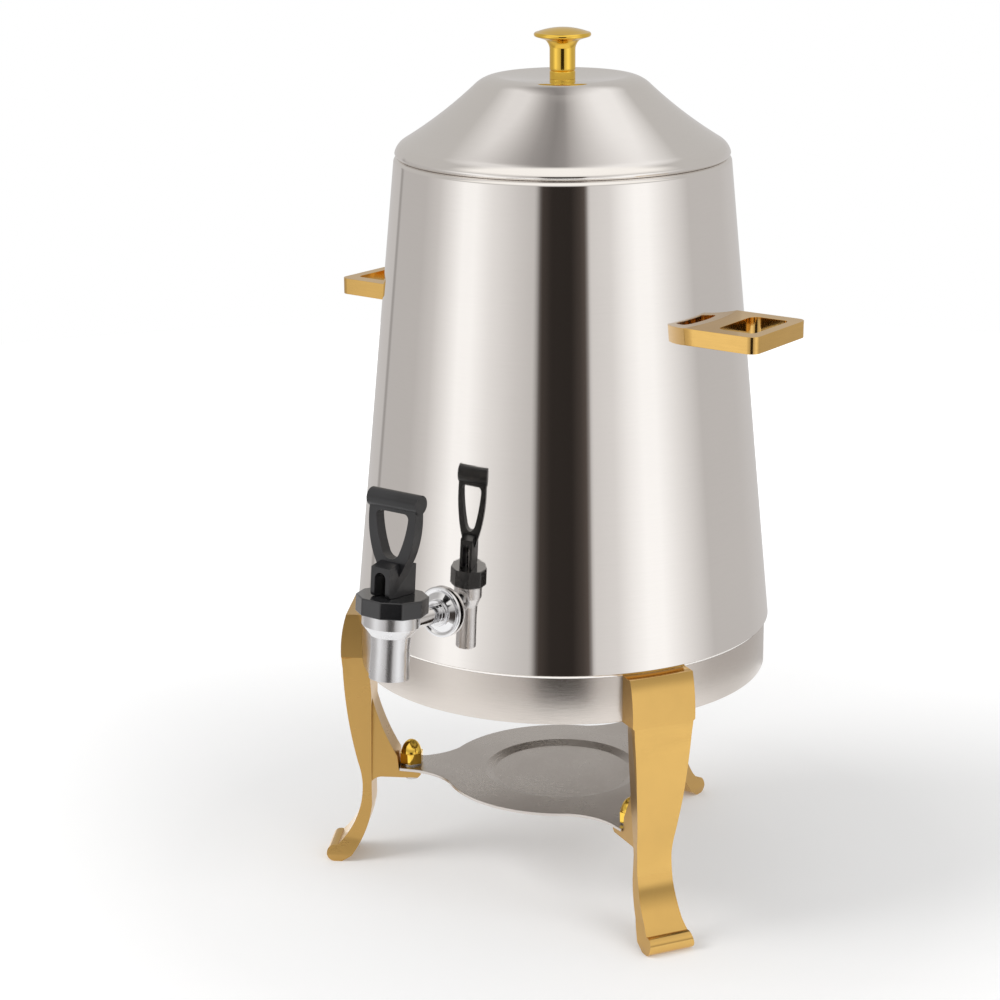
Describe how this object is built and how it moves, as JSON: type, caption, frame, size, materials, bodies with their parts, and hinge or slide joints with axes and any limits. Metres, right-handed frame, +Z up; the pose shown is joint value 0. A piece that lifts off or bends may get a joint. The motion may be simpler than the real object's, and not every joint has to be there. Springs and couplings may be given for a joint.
{
  "type": "coffee urn",
  "caption": "Tapered polished-steel hot-drink urn on curled gold legs, with lift-off lid, side handles, lever tap and a burner tray beneath.",
  "frame": {"origin": "on the floor, where the vessel's own axis meets it", "axes": "+Z up along the vessel's axis; -Y towards the tap; +X towards the right-hand handle seen from the tap side"},
  "size_m": [0.3152, 0.3541, 0.5484],
  "materials": {
    "polished_shell": "mirror polished",
    "satin_ring": "satin, lightly brushed round",
    "polished_lid": "mirror polished, pressed",
    "inner_steel": "dull inside",
    "gold_knob": "polished gold tone",
    "gold_handle": "polished gold tone",
    "gold_leg": "cast, polished gold tone",
    "gold_nut": "polished gold tone",
    "satin_tray": "satin",
    "tap_chrome": "bright plated",
    "screw_steel": "bright",
    "lever_black": "semi-matt moulded",
    "bonnet_black": "glossy moulded",
    "seal_rubber": "soft",
    "cup_silicone": "soft, milky",
    "spring_wire": "bright wire"
  },
  "bodies": {
    "urn": {"vessel_shell": "polished_shell", "base_ring": "satin_ring", "vessel_pan": "inner_steel", "handle_right": "gold_handle", "handle_left": "gold_handle", "handle_screws": "screw_steel", "handle_washers": "seal_rubber", "leg_screws": "screw_steel", "leg_front_right": "gold_leg", "leg_front_left": "gold_leg", "leg_rear": "gold_leg", "burner_tray": "satin_tray", "tray_bolts": "screw_steel", "tray_washers": "screw_steel", "cap_nuts": "gold_nut", "tap_flange": "tap_chrome", "tap_shank": "tap_chrome", "seal_outer": "seal_rubber", "seal_inner": "seal_rubber", "shank_nut": "screw_steel", "tap_body": "tap_chrome", "tap_bonnet": "bonnet_black"},
    "lid": {"lid_shell": "polished_lid", "lid_skirt": "inner_steel", "knob_ferrule": "gold_knob", "knob": "gold_knob", "knob_screw": "screw_steel", "knob_washer": "screw_steel"},
    "valve": {"valve_stem": "screw_steel", "seat_cup": "cup_silicone", "valve_spring": "spring_wire"},
    "lever": {"tap_lever": "lever_black", "lever_pin": "screw_steel"}
  },
  "joints": [
    {"name": "lid_lift", "type": "slide", "parent": "urn", "child": "lid", "axis": [0, 0, 1], "range_m": [0, 0.16]},
    {"name": "valve_slide", "type": "slide", "parent": "urn", "child": "valve", "axis": [0, 0.0962, 0.9954], "range_m": [0, 0.0038], "stiffness_N_per_m": 600, "springref_m": -0.004, "deforming": ["valve_spring"]},
    {"name": "lever_hinge", "type": "hinge", "parent": "valve", "child": "lever", "pos_m": [0, -0.17567, 0.24263], "axis": [1, 0, 0], "range_deg": [0, 25]}
  ],
  "couplings": [
    {"joint": "lever_hinge", "follows": "valve_slide", "rad_per_m": 113.6}
  ]
}
